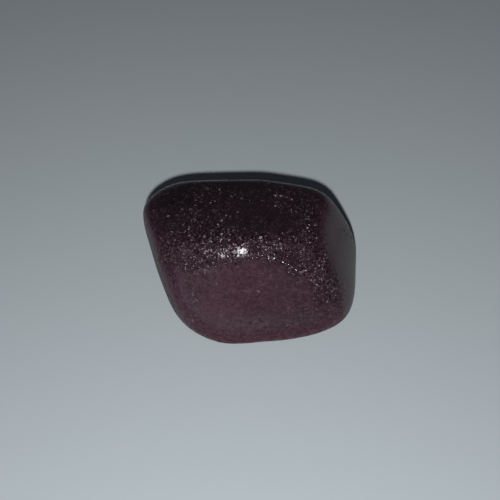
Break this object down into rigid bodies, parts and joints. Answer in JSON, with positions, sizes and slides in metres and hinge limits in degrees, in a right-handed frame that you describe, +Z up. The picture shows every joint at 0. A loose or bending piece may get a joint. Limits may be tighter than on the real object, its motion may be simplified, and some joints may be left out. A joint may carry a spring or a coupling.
{
  "type": "tumbled stone",
  "caption": "Small tumbled stone of dark purple jade: a worn block with a flat crown, a broad sloping front, one steep end and rounded edges.",
  "frame": {"origin": "middle of the footprint's box, on the plane that the stone rests on", "axes": "+X along the length, towards the steep end; +Y towards the back, so that the broad slope looks towards -Y; +Z up"},
  "size_m": [0.03, 0.022, 0.015],
  "materials": {
    "purple_jade": "tumbled to a soft gloss: dark purple-brown with darker and greyer clouds, and fine bright-edged pits along the worn edges"
  },
  "bodies": {
    "root": {"tumbled_stone": "purple_jade"}
  },
  "joints": []
}
